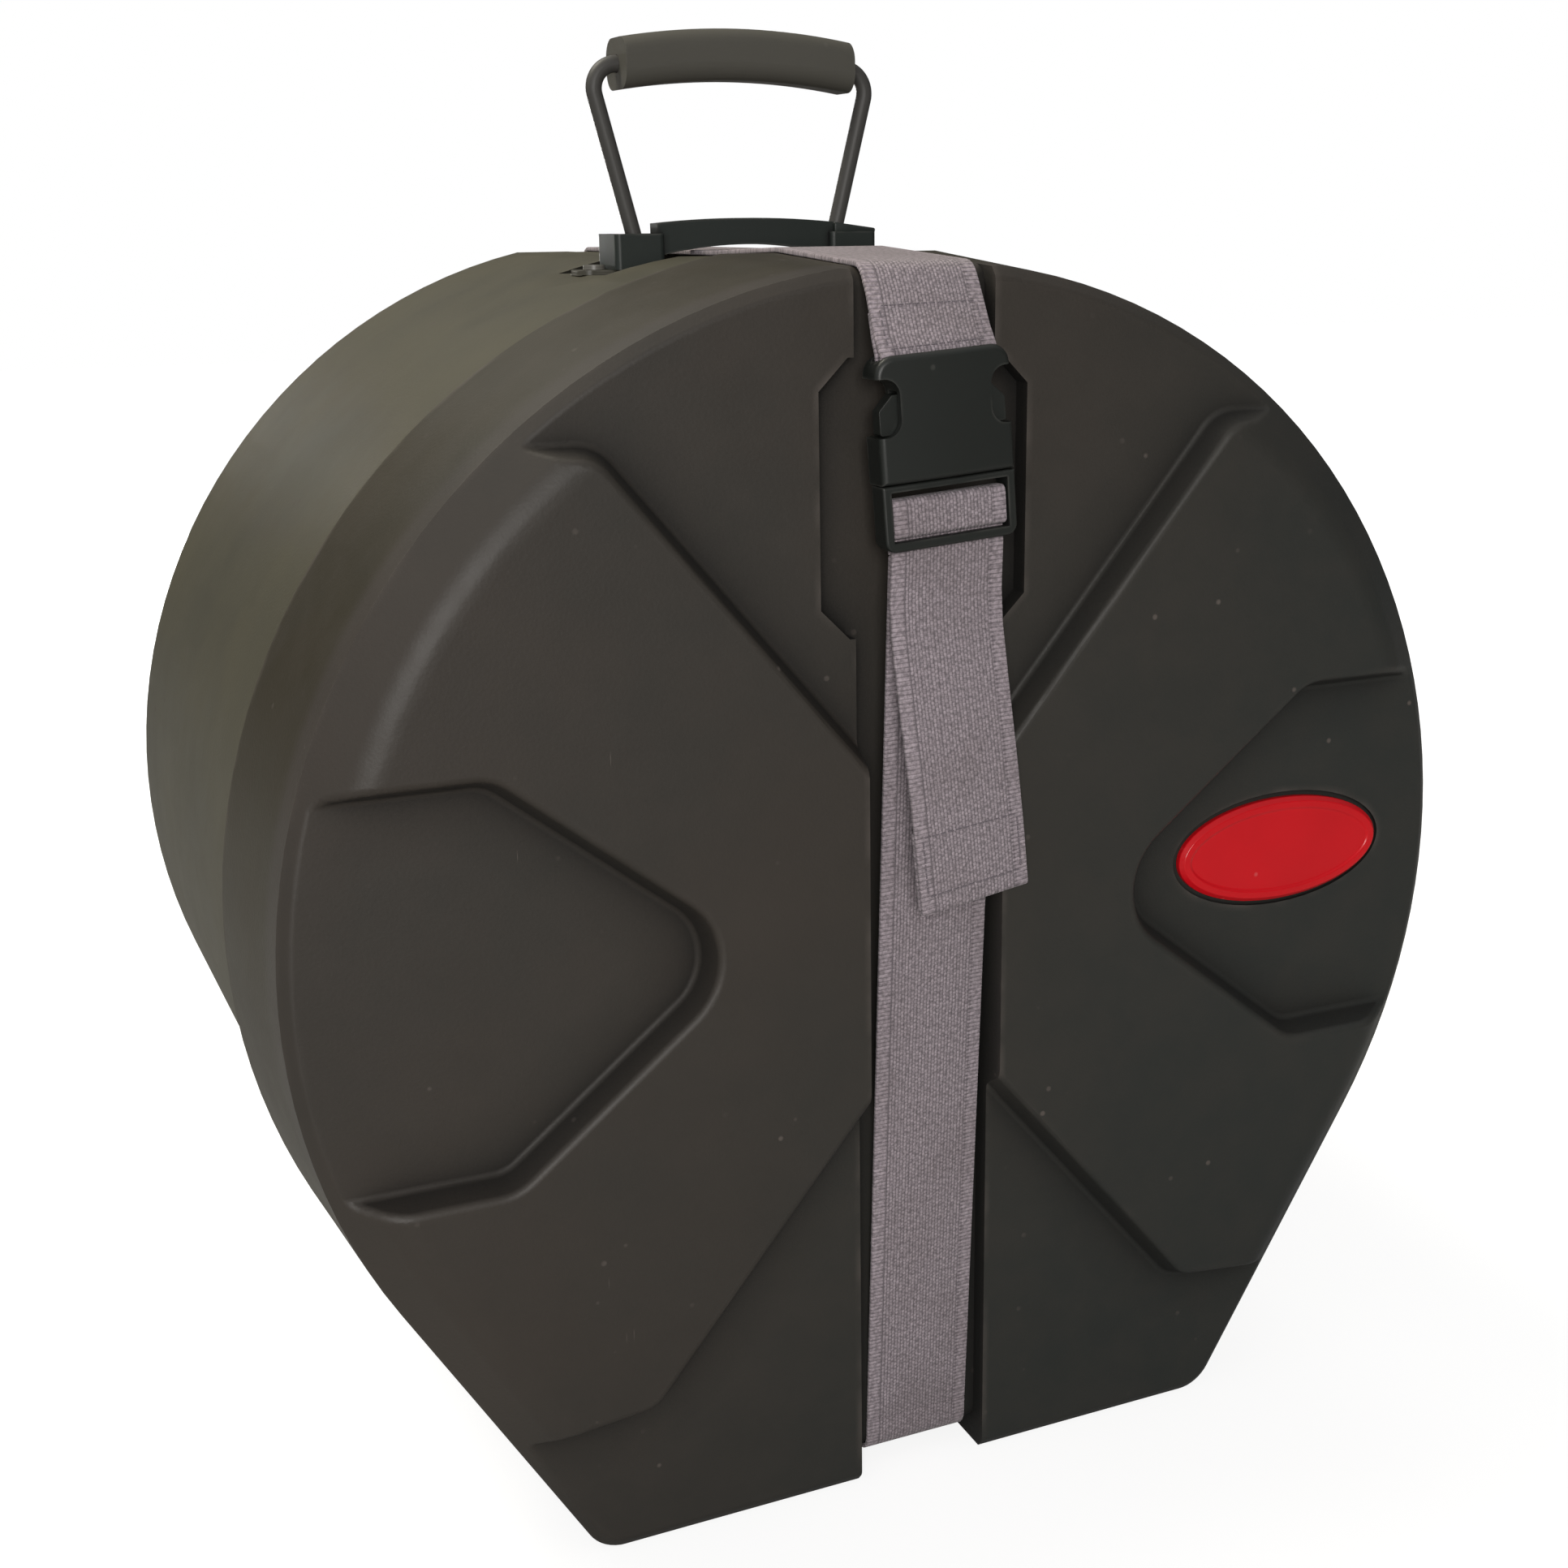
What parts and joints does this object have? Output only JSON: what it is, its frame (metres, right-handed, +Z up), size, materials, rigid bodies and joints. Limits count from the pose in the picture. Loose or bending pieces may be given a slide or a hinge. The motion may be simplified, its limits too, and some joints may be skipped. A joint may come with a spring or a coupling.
{
  "type": "drum case",
  "caption": "Upright moulded drum case with a slide-off ribbed lid, a webbing strap with a side-release buckle, foam lining and a folding bail handle.",
  "frame": {"origin": "on the ground, below the middle of the whole case's bounding box", "axes": "+Z up; -Y is the front, where the lid comes off; X runs across the face, badge on +X"},
  "size_m": [0.4184, 0.3102, 0.4845],
  "materials": {
    "shell": "moulded polyethylene, faint grain",
    "webbing": "woven polypropylene webbing",
    "buckle": "satin moulded acetal",
    "badge": "glossy domed oval",
    "wire": "black coated steel wire",
    "grip": "matte moulded grip",
    "handle_bar": "moulded nylon",
    "plates": "black painted steel strip",
    "rivets": "black painted steel",
    "foam": "closed-cell foam"
  },
  "bodies": {
    "base": {"base_shell": "shell", "handle_bar": "handle_bar", "left_anchor": "plates", "right_anchor": "plates", "left_backing": "plates", "right_backing": "plates", "handle_rivets": "rivets", "strap_rear": "webbing", "web_span_top": "webbing", "web_span_foot": "webbing", "back_pad": "foam", "side_liner": "foam", "left_wedge": "foam", "right_wedge": "foam"},
    "lid": {"lid_shell": "shell", "lid_pad": "foam", "badge": "badge", "strap_upper": "webbing", "strap_foot": "webbing", "strap_front": "webbing", "buckle_socket": "buckle"},
    "plug": {"buckle_plug": "buckle", "strap_tail": "webbing"},
    "left_prong": {"left_prong": "buckle"},
    "right_prong": {"right_prong": "buckle"},
    "handle": {"handle_bail": "wire", "handle_grip": "grip"}
  },
  "joints": [
    {"name": "lid_slide", "type": "slide", "parent": "base", "child": "lid", "axis": [0, -1, 0], "range_m": [0, 0.08], "deforming": ["web_span_top", "web_span_foot"]},
    {"name": "buckle_release", "type": "slide", "parent": "lid", "child": "plug", "axis": [0.0732, 0, -0.9973], "range_m": [0, 0.035], "deforming": ["strap_front", "left_prong", "right_prong"]},
    {"name": "left_prong_press", "type": "hinge", "parent": "plug", "child": "left_prong", "pos_m": [-0.01315, -0.1431, 0.34597], "axis": [0, 1, 0], "range_deg": [0, 10], "stiffness_Nm_per_rad": 0.15},
    {"name": "right_prong_press", "type": "hinge", "parent": "plug", "child": "right_prong", "pos_m": [0.01757, -0.1431, 0.34823], "axis": [0, -1, 0], "range_deg": [0, 10], "stiffness_Nm_per_rad": 0.15},
    {"name": "handle_pivot", "type": "hinge", "parent": "base", "child": "handle", "pos_m": [0, 0.0162, 0.4125], "axis": [-1, 0, 0], "range_deg": [0, 80]}
  ],
  "couplings": [
    {"joint": "right_prong_press", "follows": "left_prong_press", "ratio": 1}
  ]
}
